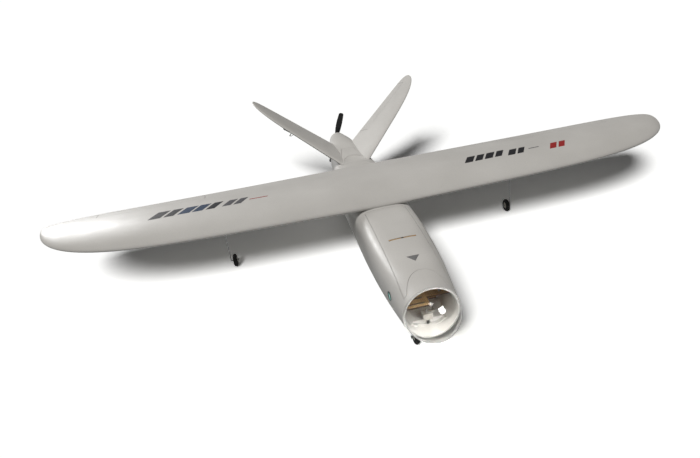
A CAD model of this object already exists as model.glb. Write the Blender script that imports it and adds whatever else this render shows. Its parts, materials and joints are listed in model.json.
"""Visual model of a foam V-tail aircraft: smooth foam, clear nose dome, fittings, floor, light and camera.

Lengths inside the shape functions are in millimetres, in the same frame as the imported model.
"""
import json
import math

import bmesh
import bpy
import numpy as np
from mathutils import Matrix, Vector


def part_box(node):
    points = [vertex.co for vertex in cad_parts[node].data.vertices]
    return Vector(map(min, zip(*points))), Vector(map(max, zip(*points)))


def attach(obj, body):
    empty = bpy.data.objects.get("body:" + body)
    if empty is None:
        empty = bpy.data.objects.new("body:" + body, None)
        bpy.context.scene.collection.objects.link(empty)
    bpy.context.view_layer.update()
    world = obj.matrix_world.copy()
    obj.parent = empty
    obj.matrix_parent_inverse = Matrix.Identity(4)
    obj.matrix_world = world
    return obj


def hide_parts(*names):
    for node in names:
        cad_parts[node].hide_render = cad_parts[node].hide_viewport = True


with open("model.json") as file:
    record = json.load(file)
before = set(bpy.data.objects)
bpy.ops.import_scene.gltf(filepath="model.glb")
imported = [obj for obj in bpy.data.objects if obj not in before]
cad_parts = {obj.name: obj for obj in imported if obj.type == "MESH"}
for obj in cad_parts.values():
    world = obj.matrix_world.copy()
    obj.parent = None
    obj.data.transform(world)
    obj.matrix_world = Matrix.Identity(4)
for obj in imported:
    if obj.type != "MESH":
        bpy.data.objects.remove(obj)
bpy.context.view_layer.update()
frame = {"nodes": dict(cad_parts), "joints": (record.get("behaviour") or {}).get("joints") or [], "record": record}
nodes = frame["nodes"]
MM = 0.001

# ---------- sizes, the same as in the part's source ----------

WALL = 8.0
FLOOR_Z = 58.0
CAVITY_END = 443.0
DOME_R, DOME_T, DOME_Y, DOME_Z = 57.0, 1.2, -503.0, 96.0
HATCH_Y = (-485.0, -152.0)
HATCH_HALF = 50.0
DECK = (46.0, 74.0, -512.0)
DOME_LIP, MOUTH_LEN = 2.5, 40.0
REAR_Y = (188.0, 326.0)
REAR_HALF = (42.0, 19.0)
HATCH_GAP = 0.5
HATCH_FLOOR = 126.0
HALF_SPAN = 845.0
WING_LE, ROOT_CHORD, TE_SWEEP, TIP_Y = -143.0, 289.0, 60.0, 75.0
WING_Z, WING_RISE, WING_THICK, WING_CAMBER = 169.0, 16.5, 0.12, 0.035
FIN_ANGLE, FIN_Z, FIN_SPAN, FIN_ROOT, FIN_THICK = 35.0, 131.0, 316.0, 20.0, 0.075
AILERON_HALF = 137.62
WING_AT_HINGE, FIN_AT_HINGE = -13.44, -6.43
RUDDER_ENDS = (-68.1, 136.2)
SLOT_Y, SLOT_HALF = -307.0, 31.0
ARROW_Y, ARROW_HALF, ARROW_LEN = -384.0, 14.0, 21.0
LIGHT_Y, LIGHT_Z, LIGHT_R = -424.0, 104.0, 9.0
PROP_R, PROP_PITCH, BLADE_ROOT_R, BLADE_TURN, HUB_HALF_LEN = 89.0, 114.0, 7.0, -70.0, 3.95
THUMB_START, THUMB_LEN, THUMB_DEPTH = 16.0, 50.0, 4.0
BOLT_Y, BOLT_HOLE_R = (-60.0, 70.0), 2.8
MAGNET_HOLE_R, MAGNET_GAP = 4.2, 0.2
STATIONS = np.array([
    (-500, 59, 37, 155, 2), (-480, 60.5, 37, 156, 2.15), (-440, 64, 38, 160, 2.5),
    (-380, 69, 41, 163, 2.9), (-300, 73, 42, 166, 3.2), (-200, 75, 42, 168, 3.4),
    (0, 74, 42, 168, 3.4), (140, 71, 44, 166, 3.2), (240, 64, 51, 164, 3),
    (340, 54, 64, 162, 2.7), (443, 42, 80, 160, 2.4), (519, 27, 97, 153, 2)], float)


# ---------- mesh helpers ----------

def new_object(name, verts, faces):
    mesh = bpy.data.meshes.new(name)
    mesh.from_pydata([tuple(float(c) * MM for c in v) for v in verts], [], faces)
    mesh.validate()
    obj = bpy.data.objects.new(name, mesh)
    bpy.context.scene.collection.objects.link(obj)
    return obj


def loft(name, rings, closed=False):
    """A closed solid through rings of equal length, capped at both ends unless it closes on itself."""
    rings = [np.asarray(r, float) for r in rings]
    n, count = len(rings[0]), len(rings)
    faces = []
    for i in range(count if closed else count - 1):
        a, b = i * n, ((i + 1) % count) * n
        faces += [(a + j, a + (j + 1) % n, b + (j + 1) % n, b + j) for j in range(n)]
    if not closed:
        faces.append(tuple(range(n - 1, -1, -1)))
        faces.append(tuple(range((count - 1) * n, count * n)))
    return outward(new_object(name, np.concatenate(rings), faces))


def outward(obj):
    """Turns a closed mesh's faces outward."""
    bm = bmesh.new()
    bm.from_mesh(obj.data)
    bmesh.ops.recalc_face_normals(bm, faces=bm.faces)
    if bm.calc_volume(signed=True) < 0:
        bmesh.ops.reverse_faces(bm, faces=bm.faces)
    bm.to_mesh(obj.data)
    bm.free()
    return obj


def prism(name, outline, z0, z1):
    return loft(name, [[(x, y, z) for x, y in outline] for z in (z0, z1)])


def block(name, low, high):
    (x0, y0, z0), (x1, y1, z1) = low, high
    return prism(name, [(x0, y0), (x1, y0), (x1, y1), (x0, y1)], z0, z1)


def lathe(name, profile, centre, axis, segments=96):
    """Turns a closed profile of (radius, height) about an axis through the centre."""
    axis = Vector(axis).normalized()
    side = axis.orthogonal().normalized()
    other = axis.cross(side)
    centre = Vector(centre)
    rings = []
    for k in range(segments):
        a = 2 * math.pi * k / segments
        out = side * math.cos(a) + other * math.sin(a)
        rings.append([tuple(centre + out * r + axis * h) for r, h in profile])
    return loft(name, rings, closed=True)


def rod(name, start, end, radius, segments=48):
    """A plain round cutter."""
    start, end = Vector(start), Vector(end)
    axis = (end - start).normalized()
    side = axis.orthogonal().normalized()
    other = axis.cross(side)
    turn = [2 * math.pi * k / segments for k in range(segments)]
    ring = [side * math.cos(a) * radius + other * math.sin(a) * radius for a in turn]
    return loft(name, [[tuple(p + r) for r in ring] for p in (start, end)])


def groove(name, path, radius=0.9):
    """A thin closed tube along a loop on the skin, cut away to round a seam's edges."""
    path = [Vector(p) for p in path]
    n = len(path)
    rings = []
    for i, p in enumerate(path):
        along = (path[(i + 1) % n] - path[i - 1]).normalized()
        side = along.cross(Vector((0, 0, 1))).normalized()
        up = side.cross(along)
        rings.append([tuple(p + side * math.cos(a) * radius + up * math.sin(a) * radius)
                      for a in [math.pi * k / 4 for k in range(8)]])
    return loft(name, rings, closed=True)


def boolean(obj, tools, operation="DIFFERENCE", keep=False):
    for tool in tools:
        mod = obj.modifiers.new("cut", "BOOLEAN")
        mod.operation, mod.solver, mod.object = operation, "MANIFOLD", tool
    graph = bpy.context.evaluated_depsgraph_get()
    mesh = bpy.data.meshes.new_from_object(obj.evaluated_get(graph))
    obj.modifiers.clear()
    old, obj.data = obj.data, mesh
    bpy.data.meshes.remove(old)
    if not keep:
        for tool in tools:
            bpy.data.objects.remove(tool)
    return obj


def copy_of(obj, name):
    twin = bpy.data.objects.new(name, obj.data.copy())
    bpy.context.scene.collection.objects.link(twin)
    return twin


def mirrored(obj, name):
    twin = copy_of(obj, name)
    twin.data.transform(Matrix.Scale(-1, 4, (1, 0, 0)))
    twin.data.flip_normals()
    return twin


def placed(obj, origin, u, v, w):
    """Moves a piece drawn on a frame's axes to that frame."""
    move = Matrix([(u[i], v[i], w[i], origin[i] * MM) for i in range(3)] + [(0, 0, 0, 1)])
    obj.data.transform(move)
    return obj


def smooth(obj, angle=32):
    obj.data.shade_smooth()
    obj.data.set_sharp_from_angle(angle=math.radians(angle))
    return obj


def finished(obj, body, material, replaced=(), angle=32):
    """Names, paints, shades and mounts a piece."""
    obj.data.name = obj.name
    obj.data.materials.clear()
    obj.data.materials.append(material)
    smooth(obj, angle)
    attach(obj, body)
    if replaced:
        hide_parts(*replaced)
    return obj


# ---------- materials ----------

class Shader:
    """A Principled material with a few chained procedural textures on object coordinates."""

    def __init__(self, name, rough=0.5, metal=0.0, **sockets):
        self.mat = bpy.data.materials.new(name)
        self.mat.use_nodes = True
        self.tree = self.mat.node_tree
        self.bsdf = self.tree.nodes["Principled BSDF"]
        self.bsdf.inputs["Roughness"].default_value = rough
        self.bsdf.inputs["Metallic"].default_value = metal
        for key, value in sockets.items():
            self.bsdf.inputs[key.replace("_", " ")].default_value = value
        self.coord = self.tree.nodes.new("ShaderNodeTexCoord")

    def node(self, kind, links=(), **props):
        made = self.tree.nodes.new(kind)
        for key, value in props.items():
            if hasattr(made, key):
                setattr(made, key, value)
            else:
                made.inputs[key.replace("_", " ")].default_value = value
        for socket, source in links:
            self.tree.links.new(source, made.inputs[socket])
        return made

    def stretched(self, scale):
        """Object coordinates, scaled by axis."""
        mapping = self.node("ShaderNodeMapping", [("Vector", self.coord.outputs["Object"])])
        mapping.inputs["Scale"].default_value = scale
        return mapping.outputs["Vector"]

    def noise(self, scale, detail=3.0, vector=None):
        return self.node("ShaderNodeTexNoise", [("Vector", vector or self.coord.outputs["Object"])],
                         Scale=scale, Detail=detail).outputs["Fac"]

    def ramp(self, source, low, high, colors):
        made = self.node("ShaderNodeValToRGB", [("Fac", source)])
        for item, place, color in zip(made.color_ramp.elements, (low, high), colors):
            item.position = place
            item.color = (*color, 1)
        return made.outputs["Color"]

    def span(self, source, low, high, to_low, to_high):
        made = self.node("ShaderNodeMapRange", [("Value", source)])
        for key, value in zip(("From Min", "From Max", "To Min", "To Max"), (low, high, to_low, to_high)):
            made.inputs[key].default_value = value
        return made.outputs["Result"]

    def math(self, operation, a, b):
        made = self.node("ShaderNodeMath", operation=operation)
        for socket, value in zip(made.inputs, (a, b)):
            if isinstance(value, (int, float)):
                socket.default_value = value
            else:
                self.tree.links.new(value, socket)
        return made.outputs[0]

    def bump(self, height, strength, distance, under=None):
        made = self.node("ShaderNodeBump", [("Height", height)], Strength=strength, Distance=distance)
        if under:
            self.tree.links.new(under, made.inputs["Normal"])
        return made.outputs["Normal"]

    def wire(self, color=None, rough=None, normal=None):
        for key, source in (("Base Color", color), ("Roughness", rough), ("Normal", normal)):
            if source is not None:
                self.tree.links.new(source, self.bsdf.inputs[key])
        return self.mat


def tint(color, share):
    return tuple(c * share for c in color)


def plain(name, color, rough=0.5, metal=0.0, grain=1500.0, depth=0.00006, patches=45.0, spread=0.82,
          **sockets):
    """Moulded plastic, paint or metal with fine grain and soft patches of wear."""
    s = Shader(name, rough, metal, **sockets)
    patch = s.noise(patches, 4)
    color_out = s.ramp(patch, 0.35, 0.68, (tint(color, spread), color))
    rough_out = s.span(s.noise(patches * 2.3, 5), 0.3, 0.7, rough * 0.85, min(1, rough * 1.15))
    return s.wire(color_out, rough_out, s.bump(s.noise(grain, 2), 0.35, depth))


def foam_material():
    """Moulded bead foam: pressed cells, a satin skin and faint patches."""
    s = Shader("foam", 0.44, Coat_Weight=0.22, Coat_Roughness=0.3, Specular_IOR_Level=0.5)
    cells = s.node("ShaderNodeTexVoronoi", [("Vector", s.coord.outputs["Object"])],
                   feature="DISTANCE_TO_EDGE", Scale=330.0).outputs["Distance"]
    joints = s.span(cells, 0.0, 0.09, 0.0, 1.0)
    tone = s.ramp(s.noise(6.0, 3), 0.3, 0.7, ((0.555, 0.545, 0.525), (0.625, 0.615, 0.595)))
    fleck = s.ramp(joints, 0.0, 1.0, ((0.93, 0.93, 0.93), (1, 1, 1)))
    mixed = s.node("ShaderNodeMix", [(6, tone), (7, fleck)], data_type="RGBA", blend_type="MULTIPLY")
    mixed.inputs[0].default_value = 1.0
    swell = s.bump(s.noise(55.0, 3), 0.12, 0.0012)
    fine = s.bump(s.noise(1400.0, 2), 0.2, 0.00008, swell)
    rough = s.span(s.noise(30.0, 4), 0.3, 0.7, 0.38, 0.5)
    return s.wire(mixed.outputs[2], rough, s.bump(joints, 0.3, 0.00018, fine))


def plywood_material():
    s = Shader("plywood", 0.55)
    grain = s.noise(60.0, 6, s.stretched((5.0, 0.5, 5.0)))
    rings = s.node("ShaderNodeTexWave", [("Vector", s.stretched((1.0, 0.12, 1.0)))],
                   Scale=90.0, Distortion=5.0, Detail=3.0).outputs["Fac"]
    total = s.math("ADD", s.math("MULTIPLY", rings, 0.35), s.math("MULTIPLY", grain, 0.65))
    face = s.ramp(total, 0.25, 0.75, ((0.30, 0.17, 0.07), (0.56, 0.38, 0.19)))
    split = s.node("ShaderNodeSeparateXYZ", [("Vector", s.coord.outputs["Normal"])])
    flat = s.span(s.math("ABSOLUTE", split.outputs["Z"], 0), 0.4, 0.7, 0.0, 1.0)
    edge = s.node("ShaderNodeMix", [(0, flat), (7, face)], data_type="RGBA")
    edge.inputs[6].default_value = (0.045, 0.022, 0.01, 1)
    return s.wire(edge.outputs[2], None, s.bump(total, 0.25, 0.0002))


def weave_material(name, color, pitch, rough, **sockets):
    """Crossed threads: webbing or carbon cloth."""
    s = Shader(name, rough, **sockets)
    waves = [s.node("ShaderNodeTexWave", [("Vector", s.coord.outputs["Object"])], bands_direction=axis,
                    Scale=pitch).outputs["Fac"] for axis in ("X", "Y")]
    cloth = s.math("MULTIPLY", *waves)
    tone = s.ramp(cloth, 0.1, 0.9, (tint(color, 0.5), color))
    return s.wire(tone, None, s.bump(cloth, 0.6, 0.0003))


def brushed_material(name, color, rough, scale):
    """Metal with fine drawing marks."""
    s = Shader(name, rough, 1.0)
    marks = s.noise(120.0, 5, s.stretched(scale))
    tone = s.ramp(marks, 0.3, 0.7, (tint(color, 0.75), color))
    return s.wire(tone, s.span(marks, 0.3, 0.7, rough * 0.8, rough * 1.3), s.bump(marks, 0.2, 0.00005))


def dome_material():
    """Clear blown plastic that lets the light through."""
    s = Shader("clear_dome", 0.02, Transmission_Weight=1.0, IOR=1.47, Coat_Weight=0.4, Coat_Roughness=0.02)
    s.bsdf.inputs["Base Color"].default_value = (0.965, 0.965, 0.955, 1)
    haze = s.span(s.noise(45.0, 4), 0.45, 0.75, 0.012, 0.05)
    s.wire(None, haze, s.bump(s.noise(22.0, 2), 0.05, 0.0004))
    clear = s.node("ShaderNodeBsdfTransparent")
    clear.inputs["Color"].default_value = (0.93, 0.93, 0.92, 1)
    path = s.node("ShaderNodeLightPath")
    either = s.node("ShaderNodeMixShader", [(0, path.outputs["Is Shadow Ray"]), (1, s.bsdf.outputs[0]),
                                            (2, clear.outputs[0])])
    s.tree.links.new(either.outputs[0], s.tree.nodes["Material Output"].inputs["Surface"])
    return s.mat


MATERIALS = {
    "foam": foam_material(),
    "clear_dome": dome_material(),
    "plywood": plywood_material(),
    "carbon": weave_material("carbon", (0.035, 0.035, 0.04), 400.0, 0.3, Coat_Weight=0.6),
    "servo_case": plain("servo_case", (0.02, 0.028, 0.05), 0.42),
    "white_nylon": plain("white_nylon", (0.76, 0.75, 0.70), 0.45),
    "grey_nylon": plain("grey_nylon", (0.46, 0.44, 0.40), 0.6),
    "black_plastic": plain("black_plastic", (0.022, 0.022, 0.023), 0.55),
    "steel_wire": brushed_material("steel_wire", (0.52, 0.52, 0.53), 0.3, (6.0, 6.0, 0.4)),
    "wheel_hub": plain("wheel_hub", (0.66, 0.64, 0.58), 0.45),
    "tyre_rubber": plain("tyre_rubber", (0.024, 0.023, 0.022), 0.82, grain=700.0, depth=0.00025, spread=0.6),
    "battery_wrap": plain("battery_wrap", (0.03, 0.07, 0.24), 0.25, grain=120.0, depth=0.0009,
                          Coat_Weight=0.5),
    "strap_webbing": weave_material("strap_webbing", (0.03, 0.03, 0.032), 320.0, 0.85),
    "electronics": plain("electronics", (0.035, 0.036, 0.04), 0.6),
    "motor_metal": brushed_material("motor_metal", (0.5, 0.5, 0.52), 0.35, (1.0, 6.0, 1.0)),
    "motor_black": plain("motor_black", (0.03, 0.03, 0.034), 0.35, 0.6),
    "red_anodised": plain("red_anodised", (0.42, 0.03, 0.03), 0.3, 0.9),
    "prop_black": plain("prop_black", (0.016, 0.016, 0.018), 0.36, patches=80.0, Coat_Weight=0.2),
    "teal_lens": plain("teal_lens", (0.1, 0.5, 0.42), 0.12, patches=200.0, Coat_Weight=0.8,
                       Emission_Color=(0.1, 0.5, 0.42, 1), Emission_Strength=0.35),
    "dark_print": plain("dark_print", (0.03, 0.03, 0.034), 0.5, patches=120.0),
    "grey_print": plain("grey_print", (0.11, 0.11, 0.12), 0.5, patches=120.0),
    "arrow_print": plain("arrow_print", (0.2, 0.2, 0.205), 0.45, patches=120.0),
    "blue_print": plain("blue_print", (0.03, 0.055, 0.11), 0.5, patches=120.0),
    "red_print": plain("red_print", (0.36, 0.035, 0.035), 0.5, patches=120.0),
}

for row in frame["record"]["subparts"]:
    node = nodes[row["node"]]
    node.data.materials.clear()
    node.data.materials.append(MATERIALS[row["material_slot"]])
    smooth(node, 30)

nodes["nose_bearing"].data.materials[0] = MATERIALS["grey_nylon"]


# ---------- fuselage ----------

def blended(y, column):
    """A station value at y on a smooth curve that never overshoots its rows."""
    xs, ys = STATIONS[:, 0], STATIONS[:, column]
    step = np.diff(xs)
    rise = np.diff(ys) / step
    slope = np.zeros(len(xs))
    slope[0], slope[-1] = rise[0], rise[-1]
    for k in range(1, len(xs) - 1):
        if rise[k - 1] * rise[k] > 0:
            near, far = 2 * step[k] + step[k - 1], step[k] + 2 * step[k - 1]
            slope[k] = (near + far) / (near / rise[k - 1] + far / rise[k])
    i = int(np.clip(np.searchsorted(xs, y) - 1, 0, len(step) - 1))
    t = (y - xs[i]) / step[i]
    return float((1 + 2 * t) * (1 - t) ** 2 * ys[i] + t * (1 - t) ** 2 * step[i] * slope[i]
                 + t * t * (3 - 2 * t) * ys[i + 1] + t * t * (t - 1) * step[i] * slope[i + 1])


def body_ring(y, inset, count=128):
    half, low, top, square = (blended(y, c) for c in (1, 2, 3, 4))
    wide, tall, mid = half - inset, (top - low) / 2 - inset, (top + low) / 2
    ring = []
    for k in range(count):
        a = 2 * math.pi * (k + 0.5) / count
        c, s = math.cos(a), math.sin(a)
        ring.append((wide * math.copysign(abs(c) ** (2 / square), c), y,
                     mid + tall * math.copysign(abs(s) ** (2 / square), s)))
    return ring


def skin_z(x, y, inset=0.0):
    half, low, top, square = (blended(y, c) for c in (1, 2, 3, 4))
    share = min(0.9999, abs(x) / (half - inset))
    return (low + top) / 2 + ((top - low) / 2 - inset) * (1 - share ** square) ** (1 / square)


def body_solid(name, inset, y0, y1, step=5.0):
    rows = np.linspace(y0, y1, max(2, int(round((y1 - y0) / step))))
    return loft(name, [body_ring(y, inset) for y in rows])


def front_plan(grow):
    half = HATCH_HALF + grow
    rx, ry, cy = DECK[0] - grow, DECK[1] - grow, DECK[2]
    front = HATCH_Y[0] - grow
    reach = rx * math.sqrt(1 - ((front - cy) / ry) ** 2)
    arc = [(x, cy + ry * math.sqrt(1 - (x / rx) ** 2)) for x in np.linspace(reach, -reach, 41)]
    return [(-half, HATCH_Y[1] + grow), (half, HATCH_Y[1] + grow), (half, front)] + arc + [(-half, front)]


def rear_plan(grow):
    near, far = REAR_HALF[0] + grow, REAR_HALF[1] + grow
    y0, y1 = REAR_Y[0] - grow, REAR_Y[1] + grow
    return [(-near, y0), (near, y0), (far, y1), (-far, y1)]


def resampled(outline, step=4.0):
    """Points every few millimetres round a closed outline."""
    out = []
    for (x0, y0), (x1, y1) in zip(outline, outline[1:] + outline[:1]):
        parts = max(1, int(math.hypot(x1 - x0, y1 - y0) / step))
        out += [(x0 + (x1 - x0) * k / parts, y0 + (y1 - y0) * k / parts) for k in range(parts)]
    return out


def seam(name, outline, radius=0.65):
    return groove(name, [(x, y, skin_z(x, y)) for x, y in resampled(outline)], radius)


def cavity_solid():
    hollow = body_solid("cavity", WALL, STATIONS[0, 0], CAVITY_END, 8.0)
    return boolean(hollow, [block("under", (-200, -473, -50), (200, CAVITY_END + 5, FLOOR_Z))])


# ---------- wing ----------

def foil_half(f):
    return 5 * (0.2969 * math.sqrt(f) - 0.126 * f - 0.3516 * f ** 2 + 0.2843 * f ** 3 - 0.1015 * f ** 4)


def foil_camber(f, m):
    return m / 0.16 * (0.8 * f - f * f) if f < 0.4 else m / 0.36 * (0.2 + 0.8 * f - f * f)


def foil_ring(chord, thick, camber, count=34):
    """Section points (along the chord, up), trailing edge to nose on top and back below."""
    shares = [math.sin(math.pi / 2 * k / count) ** 2 for k in range(count + 1)]
    top = [(chord * f, chord * (foil_camber(f, camber) + thick * foil_half(f)) + 0.5 * f)
           for f in shares[::-1]]
    low = [(chord * f, chord * (foil_camber(f, camber) - thick * foil_half(f)) - 0.5 * f) for f in shares[1:]]
    return top + low


def round_off(s, power):
    return math.sqrt(max(0.0, 1 - s ** power))


def wing_le(s):
    return TIP_Y + (WING_LE - TIP_Y) * round_off(s, 6)


def wing_te(s):
    straight = WING_LE + ROOT_CHORD - TE_SWEEP * s * (1 - 0.4 * s)
    return TIP_Y + (straight - TIP_Y) * round_off(s, 14)


def wing_section(x):
    s = min(0.9995, abs(x) / HALF_SPAN)
    lead = wing_le(s)
    return [(x, lead + a, WING_Z + WING_RISE * s + b)
            for a, b in foil_ring(wing_te(s) - lead, WING_THICK, WING_CAMBER)]


def wing_top(x, y):
    s = abs(x) / HALF_SPAN
    chord = wing_te(s) - wing_le(s)
    f = (y - wing_le(s)) / chord
    lift = foil_camber(f, WING_CAMBER) + WING_THICK * foil_half(f)
    return WING_Z + WING_RISE * s + chord * lift + 0.5 * f


def wing_half():
    xs = list(np.linspace(0, 560, 36)) + [HALF_SPAN * min(0.9995, s) for s in
                                          1 - 0.34 * (1 - np.linspace(0, 1, 60)[1:]) ** 2.2]
    xs = sorted(x for x in set(round(float(x), 3) for x in xs) if x >= 0)
    return loft("wing_half", [wing_section(x) for x in xs])


def hinge_frame(joint):
    row = next(j for j in frame["joints"] if j["name"] == joint)
    u = Vector(row["axis"]).normalized()
    w = u.cross(Vector((0, 1, 0))).normalized()
    return Vector(row["pos_m"]) / MM, u, w.cross(u), w


HINGE_GAP, HINGE_LEAN = 0.5, math.tan(math.radians(30))


def behind_hinge(hinge, ends, depth):
    return placed(block("behind", (ends[0] - 1, 0, -40), (ends[1] + 1, depth, 40)), *hinge)


def surface_tool(hinge, ends, depth):
    profile = [(HINGE_GAP, 40), (HINGE_GAP, 0), (HINGE_GAP + 40 * HINGE_LEAN, -40), (depth, -40), (depth, 40)]
    return placed(loft("keep", [[(x, y, z) for y, z in profile] for x in ends]), *hinge)


def pocket_tools(hinge, reach, drop):
    """The servo's bed, its lugs, the arm's way and the opening below."""
    boxes = [((4.7, -reach - 6.3, -drop - 60), (27.8, -reach + 16.8, -drop + 6.3)),
             ((19.5, -reach - 10.5, -drop - 6.3), (23.0, -reach + 21.0, -drop + 6.3)),
             ((-6, -reach - 14, -drop - 60), (5.3, -reach + 14, -drop + 6))]
    return [placed(block("pocket", *b), *hinge) for b in boxes]


def horn_slot(hinge, low):
    return placed(block("horn_slot", (-0.15, 0, low - 8), (1.75, 20.4, low + 3.3)), *hinge)


def fin_flat(u):
    le = 165 + 0.74 * u
    te = 392 + 0.41 * u
    share = (u - FIN_ROOT) / (FIN_SPAN - FIN_ROOT)
    tip = 392 + 0.41 * FIN_SPAN - 42
    lead = tip + (le - tip) * round_off(share, 9)
    trail = tip + (te - tip) * round_off(share, 16)
    c, s = math.cos(math.radians(FIN_ANGLE)), math.sin(math.radians(FIN_ANGLE))
    section = foil_ring(trail - lead, FIN_THICK, 0, 26)
    return [(u * c - b * s, lead + a, u * s + b * c + FIN_Z) for a, b in section]


def fin_whole():
    shares = list(np.linspace(0, 0.82, 22)) + list(1 - 0.18 * (1 - np.linspace(0, 1, 34)[1:]) ** 2)
    return loft("fin_whole", [fin_flat(FIN_ROOT + (FIN_SPAN - FIN_ROOT) * min(s, 0.998)) for s in shares])


FOAM = MATERIALS["foam"]


def foam_piece(obj, body, *replaced):
    return finished(obj, body, FOAM, replaced)


def build_wings():
    hinge = hinge_frame("aileron_left_hinge")
    ends = (-AILERON_HALF, AILERON_HALF)
    whole = wing_half()
    panel = copy_of(whole, "wing_left_foam")
    low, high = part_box("leg_plates")
    plate = block("plate", (high.x / MM - 28.2, low.y / MM - 0.2, low.z / MM - 0.2),
                  (high.x / MM + 0.2, high.y / MM + 0.2, high.z / MM + 0.2))
    boolean(panel, [behind_hinge(hinge, ends, 200), plate] + pocket_tools(hinge, 72, 14))
    flap = copy_of(whole, "aileron_left_foam")
    boolean(flap, [surface_tool(hinge, ends, 200)], "INTERSECT")
    boolean(flap, [horn_slot(hinge, WING_AT_HINGE)])
    bpy.data.objects.remove(whole)
    foam_piece(mirrored(panel, "wing_right_foam"), "airframe", "wing_right")
    foam_piece(mirrored(flap, "aileron_right_foam"), "aileron_right", "aileron_right")
    foam_piece(panel, "airframe", "wing_left")
    foam_piece(flap, "aileron_left", "aileron_left")


def build_tail(outside):
    hinge = hinge_frame("ruddervator_left_hinge")
    whole = fin_whole()
    panel = copy_of(whole, "fin_left_foam")
    boolean(panel, [behind_hinge(hinge, RUDDER_ENDS, 150)] + pocket_tools(hinge, 58, 9))
    boolean(panel, [outside], keep=True)
    flap = copy_of(whole, "ruddervator_left_foam")
    boolean(flap, [surface_tool(hinge, RUDDER_ENDS, 150)], "INTERSECT")
    boolean(flap, [horn_slot(hinge, FIN_AT_HINGE)])
    bpy.data.objects.remove(whole)
    foam_piece(mirrored(panel, "fin_right_foam"), "airframe", "fin_right")
    foam_piece(mirrored(flap, "ruddervator_right_foam"), "ruddervator_right", "ruddervator_right")
    foam_piece(panel, "airframe", "fin_left")
    foam_piece(flap, "ruddervator_left", "ruddervator_left")


def light_axis():
    half = blended(LIGHT_Y, 1)
    inward = Vector((math.cos(math.radians(4)), math.sin(math.radians(4)), 0))
    return Vector((-half - 1, LIGHT_Y, LIGHT_Z)), inward


def magnet_pockets():
    """Round pockets in the rim, one for each magnet beside the front hatch."""
    low, high = (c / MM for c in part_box("hatch_magnets"))
    y, z = (low.y + high.y) / 2, (low.z + high.z) / 2
    return [rod("magnet_pocket", (side * (HATCH_HALF - MAGNET_GAP), y, z),
                (side * (high.x + MAGNET_GAP), y, z), MAGNET_HOLE_R) for side in (1, -1)]


def build_fuselage():
    outside = body_solid("outside", 0, STATIONS[0, 0], STATIONS[-1, 0])
    shell = copy_of(outside, "shell")
    saddle = loft("saddle", [wing_section(x) for x in np.linspace(-110, 110, 23)])
    light, inward = light_axis()
    leg = Vector((0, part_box("nose_bearing")[0].y / MM + 9, 0))
    plate_low, plate_high = (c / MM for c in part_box("wing_plate"))
    mouth = [(0.0001, 0), (DOME_R - DOME_LIP, 0), (DOME_R - WALL + 1, MOUTH_LEN), (0.0001, MOUTH_LEN)]
    bolt_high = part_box("wing_bolts")[1] / MM
    tools = [cavity_solid(), lathe("mouth", mouth, (0, DOME_Y - 1, DOME_Z), (0, 1, 0)),
             prism("front_cut", front_plan(0), HATCH_FLOOR, HATCH_FLOOR + 100),
             prism("rear_cut", rear_plan(0), HATCH_FLOOR, HATCH_FLOOR + 100),
             seam("front_seam", front_plan(-0.25)), seam("rear_seam", rear_plan(-0.25)), saddle,
             block("plate_way", plate_low - Vector((.2, .2, .2)), plate_high + Vector((.2, .2, .2))),
             rod("light_cut", light - inward * 3, light + inward * 5, LIGHT_R + 0.2),
             rod("leg_cut", leg, leg + Vector((0, 0, FLOOR_Z + 20)), 6)]
    tools += [rod("bolt_hole", (0, y, 140), (0, y, bolt_high.z), BOLT_HOLE_R) for y in BOLT_Y]
    tools += magnet_pockets()
    boolean(shell, tools)
    for name, side_low, side_high in (("left", 0, 200), ("right", -200, 0)):
        half = copy_of(shell, f"fuselage_{name}_foam")
        side = block("side", (side_low, -700, -50), (side_high, 700, 400))
        foam_piece(boolean(half, [side], "INTERSECT"), "airframe", f"fuselage_{name}")
    bpy.data.objects.remove(shell)
    return outside


def lid(name, y0, y1, plan, cuts):
    """A hatch: the shell's own wall inside a plan outline, with rounded edges."""
    made = body_solid(name, 0, y0, y1, 4.0)
    boolean(made, [body_solid("inner", WALL, y0 - 2, y1 + 2, 6.0)])
    boolean(made, [prism("plan", plan(-HATCH_GAP), HATCH_FLOOR, HATCH_FLOOR + 100)], "INTERSECT")
    return boolean(made, [seam("edge", plan(-0.25))] + cuts)


def thumb_recess():
    """A shallow scoop with sloping sides behind the rear hatch's front edge."""
    y0 = REAR_Y[0] + THUMB_START
    half = REAR_HALF[0] - 10
    depth = [(-THUMB_DEPTH, 0.92), (0.8 - THUMB_DEPTH, 0.98), (6.0, 1.08)]
    top = skin_z(0, y0)
    rings = []
    for z, grow in depth:
        arc = [(half * grow * math.cos(a), y0 + THUMB_LEN * grow * math.sin(a))
               for a in np.linspace(0, math.pi, 33)]
        rings.append([(x, y, top + z) for x, y in arc])
    return loft("thumb", rings)


def arrow_outline(inset):
    return [(-ARROW_HALF + 1.9 * inset, ARROW_Y - inset), (ARROW_HALF - 1.9 * inset, ARROW_Y - inset),
            (0, ARROW_Y - ARROW_LEN + 1.6 * inset)]


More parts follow.
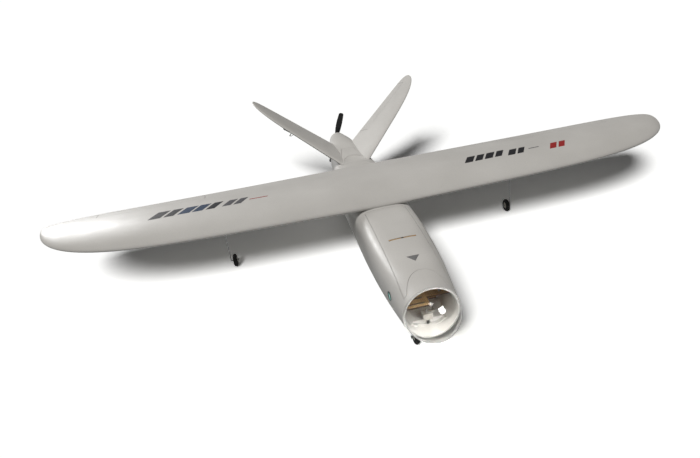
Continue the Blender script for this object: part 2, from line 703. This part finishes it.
def build_hatches():
    top = skin_z(0, ARROW_Y)
    slot_top = skin_z(0, SLOT_Y)
    cuts = [block("slot", (-SLOT_HALF, SLOT_Y - 2.5, 163), (SLOT_HALF, SLOT_Y + 2.5, 190)),
            prism("arrow", arrow_outline(0), top - 2.5, top + 8)]
    front = lid("front_hatch_foam", -490, -140, front_plan, cuts)
    foam_piece(front, "front_hatch", "front_hatch")
    rear = lid("rear_hatch_foam", 170, 335, rear_plan, [thumb_recess()])
    foam_piece(rear, "rear_hatch", "rear_hatch")
    arrow = prism("hatch_arrow", arrow_outline(0.35), top - 2.4, top - 0.5)
    finished(arrow, "front_hatch", MATERIALS["arrow_print"])
    strip = block("hatch_catch", (-SLOT_HALF + 0.4, SLOT_Y - 2.1, slot_top - 2.6),
                  (SLOT_HALF - 0.4, SLOT_Y + 2.1, slot_top - 0.7))
    finished(strip, "front_hatch", MATERIALS["plywood"])
    knob = lathe("hatch_catch_pin", [(0.0001, -1.4), (2.6, -1.4), (2.6, 0.2), (1.9, 0.9), (0.0001, 1.1)],
                 (0, SLOT_Y, slot_top - 0.6), (0, 0, 1), 32)
    finished(knob, "front_hatch", MATERIALS["black_plastic"])


def build_dome():
    outer = [(DOME_R * math.sin(a), DOME_R * math.cos(a)) for a in np.linspace(0.0005, math.pi / 2, 60)]
    r = DOME_R - DOME_T
    inner = [(r * math.sin(a), r * math.cos(a)) for a in np.linspace(math.pi / 2, 0.0005, 60)]
    profile = outer + [(DOME_R, -2.9), (r, -2.9)] + inner
    dome = lathe("dome_shell", profile, (0, DOME_Y, DOME_Z), (0, -1, 0), 160)
    return finished(dome, "airframe", MATERIALS["clear_dome"], ["nose_dome"], 50)


def build_light():
    start, inward = light_axis()
    rim = [(LIGHT_R - 1.6, 0.9), (LIGHT_R - 0.4, 0.1), (LIGHT_R + 0.8, 0.4), (LIGHT_R + 0.9, 1.6),
           (LIGHT_R - 1.6, 1.6)]
    ring = lathe("side_light_rim", rim, start, inward, 64)
    finished(ring, "airframe", MATERIALS["black_plastic"])


# ---------- propeller ----------

def blade_ring(t, radius, side):
    """One section of a blade: an aerofoil across the radius, turned to its pitch."""
    chord = 11 + 8.5 * math.sin(math.pi * min(1, 0.15 + 0.85 * t) * 0.85)
    chord *= 1 if t < 0.95 else math.sqrt(max(0.3, 1 - ((t - 0.95) / 0.05) ** 2))
    thick = (0.25 - 0.15 * t)
    pitch = math.atan(PROP_PITCH / (2 * math.pi * radius))
    points = []
    for a, b in foil_ring(chord, thick, 0.04, 10):
        a -= chord * 0.45
        points.append((radius * side, a * math.sin(pitch) + b * math.cos(pitch),
                       side * (a * math.cos(pitch) - b * math.sin(pitch))))
    return points


def build_propeller():
    thrust = next(j for j in frame["joints"] if j["name"] == "propeller_spin")["pos_m"][2] / MM
    mid_y = (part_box("propeller")[0] / MM).y + HUB_HALF_LEN
    turn = Matrix.Rotation(math.radians(BLADE_TURN), 4, "Y")
    lift = Matrix.Translation(Vector((0, mid_y, thrust)) * MM)
    for side, name in ((1, "propeller_blade_a"), (-1, "propeller_blade_b")):
        rings = [blade_ring(t, BLADE_ROOT_R + (PROP_R - BLADE_ROOT_R) * t, side)
                 for t in np.linspace(-0.02, 0.997, 40)]
        blade = loft(name, rings)
        blade.data.transform(lift @ turn)
        finished(blade, "propeller", MATERIALS["prop_black"], ["propeller"])
    profile = [(2.55, -3.9), (6.8, -3.9), (7.5, -3.2), (7.5, 3.2), (6.8, 3.9), (2.55, 3.9)]
    hub = lathe("propeller_hub", profile, (0, mid_y, thrust), (0, 1, 0), 64)
    finished(hub, "propeller", MATERIALS["prop_black"], ["propeller"])


# ---------- printed stripes on the wing ----------

def stripe(name, x0, x1, y0, y1, slant, material):
    """A slanted bar that lies on the wing's top skin."""
    across, along = 14, 5
    top, low = [], []
    for j in range(along + 1):
        y = y0 + (y1 - y0) * j / along
        shift = slant * (j / along - 0.5) * (y1 - y0)
        for i in range(across + 1):
            x = x0 + (x1 - x0) * i / across + shift
            top.append((x, y, wing_top(x, y) + 0.22))
            low.append((x, y, wing_top(x, y) - 0.15))
    n = across + 1
    quads = [(j * n + i, j * n + i + 1, (j + 1) * n + i + 1, (j + 1) * n + i)
             for j in range(along) for i in range(across)]
    rim = ([i for i in range(n)] + [j * n + across for j in range(1, along + 1)]
           + [along * n + i for i in range(across - 1, -1, -1)] + [j * n for j in range(along - 1, 0, -1)])
    shift = len(top)
    faces = quads + [tuple(shift + k for k in q[::-1]) for q in quads]
    faces += [(a + shift, b + shift, b, a) for a, b in zip(rim, rim[1:] + rim[:1])]
    made = outward(new_object(name, top + low, faces))
    return finished(made, "airframe", material)


def build_stripes():
    dark, grey, blue, red = (MATERIALS[k + "_print"] for k in ("dark", "grey", "blue", "red"))
    starboard = [(-552, -522, -37, 5, dark), (-514, -490, -37, 5, dark), (-481, -452, -36, 4, blue),
                 (-446, -420, -36, 4, blue), (-412, -390, -36, 4, dark), (-373, -352, -34, 2, grey),
                 (-345, -326, -34, 2, grey), (-314, -268, -19, -15, red)]
    port = [(252, 274, -51, -13, dark), (280, 300, -51, -13, dark), (306, 328, -51, -13, dark),
            (334, 353, -51, -13, dark), (366, 386, -58, -22, dark), (392, 409, -58, -22, dark),
            (421, 449, -43, -39, grey), (476, 494, -68, -34, red), (500, 517, -68, -34, red)]
    for side, rows, slant in (("starboard", starboard, 0.55), ("port", port, 0.55)):
        for k, (x0, x1, y0, y1, material) in enumerate(rows):
            stripe(f"stripe_{side}_{k}", x0, x1, y0, y1, slant, material)


# ---------- floor, light and camera ----------

def build_floor():
    size = 40000
    floor = new_object("floor", [(-size, -size, 0), (size, -size, 0), (size, size, 0), (-size, size, 0)],
                       [(0, 1, 2, 3)])
    s = Shader("floor_paper", 0.9)
    pale = s.ramp(s.noise(3.0, 3), 0.3, 0.7, ((0.56, 0.56, 0.55), (0.59, 0.59, 0.58)))
    s.wire(pale)
    bright = s.node("ShaderNodeBsdfDiffuse")
    bright.inputs["Color"].default_value = (1.6, 1.6, 1.585, 1)
    path = s.node("ShaderNodeLightPath")
    either = s.node("ShaderNodeMixShader", [(0, path.outputs["Is Camera Ray"]), (1, s.bsdf.outputs[0]),
                                            (2, bright.outputs[0])])
    s.tree.links.new(either.outputs[0], s.tree.nodes["Material Output"].inputs["Surface"])
    floor.data.materials.append(s.mat)
    return floor


def aim(obj, place, target):
    obj.location = place
    obj.rotation_euler = (Vector(target) - Vector(place)).to_track_quat("-Z", "Y").to_euler()


def add_light(name, kind, place, target, energy, color=(1, 1, 1), **props):
    data = bpy.data.lights.new(name, kind)
    data.energy, data.color = energy, color
    for key, value in props.items():
        setattr(data, key, value)
    obj = bpy.data.objects.new(name, data)
    bpy.context.scene.collection.objects.link(obj)
    aim(obj, place, target)
    return obj


def build_world():
    world = bpy.data.worlds.new("studio")
    bpy.context.scene.world = world
    world.use_nodes = True
    tree = world.node_tree
    lit = tree.nodes["Background"]
    lit.inputs["Color"].default_value = (1.0, 0.995, 0.985, 1)
    lit.inputs["Strength"].default_value = 0.05
    seen = tree.nodes.new("ShaderNodeBackground")
    seen.inputs["Color"].default_value = (1, 1, 0.99, 1)
    seen.inputs["Strength"].default_value = 1.0
    path = tree.nodes.new("ShaderNodeLightPath")
    either = tree.nodes.new("ShaderNodeMixShader")
    tree.links.new(path.outputs["Is Camera Ray"], either.inputs[0])
    tree.links.new(lit.outputs[0], either.inputs[1])
    tree.links.new(seen.outputs[0], either.inputs[2])
    tree.links.new(either.outputs[0], tree.nodes["World Output"].inputs["Surface"])


def link_light(lamp, objects, state):
    """Lets a lamp light only the objects, or everything but them."""
    group = bpy.data.collections.new(f"{lamp.name}_receivers")
    for item, obj in enumerate(objects):
        group.objects.link(obj)
        group.collection_objects[item].light_linking.link_state = state
    lamp.light_linking.receiver_collection = group


def build_lights(floor, dome):
    build_world()
    shade = add_light("floor_sun", "SUN", (-0.5, -0.92, 1.0), (0, 0, 0), 2.72, angle=0.32)
    link_light(shade, [floor], "INCLUDE")
    key = add_light("key", "SUN", (-0.15, -0.25, 1.0), (0, 0, 0), 2.35, (1, 0.975, 0.94), angle=0.3)
    link_light(key, [floor], "EXCLUDE")
    glow = add_light("tip_glow", "AREA", (-2.1, 2.9, 1.3), (-0.75, 0.05, 0.19), 60, shape="RECTANGLE",
                     size=1.5, size_y=0.9)
    link_light(glow, [floor, dome], "EXCLUDE")
    box = add_light("softbox", "AREA", (0.68, -1.51, 1.06), (0, -0.52, 0.1), 30, shape="SQUARE", size=0.66)
    link_light(box, [dome], "INCLUDE")
    inside = add_light("nose_fill", "AREA", (0.02, -0.485, 0.08), (0.03, -0.42, 0.125), 0.003,
                       (1, 0.93, 0.85), shape="SQUARE", size=0.03)
    link_light(inside, [floor, dome], "EXCLUDE")
    for lamp in (shade, key, inside):
        lamp.visible_glossy = False
    for lamp in (glow, box, inside):
        lamp.visible_camera = False


def build_camera():
    data = bpy.data.cameras.new("camera")
    data.sensor_width = 36.0
    data.lens = 31.009
    data.clip_start, data.clip_end = 0.01, 200
    cam = bpy.data.objects.new("camera", data)
    bpy.context.scene.collection.objects.link(cam)
    right = Vector((0.9733844, -0.1945506, -0.1211317))
    up = Vector((0.1958771, 0.4318532, 0.8804175))
    back = right.cross(up)
    turn = Matrix((right, up, back)).transposed().to_4x4()
    cam.matrix_world = Matrix.Translation((-0.26300, -1.43098, 0.79677)) @ turn
    bpy.context.scene.camera = cam


build_camera()
outside = build_fuselage()
build_tail(outside)
bpy.data.objects.remove(outside)
build_wings()
build_hatches()
build_lights(build_floor(), build_dome())
build_light()
build_propeller()
build_stripes()

bpy.context.scene.view_settings.view_transform = "Standard"
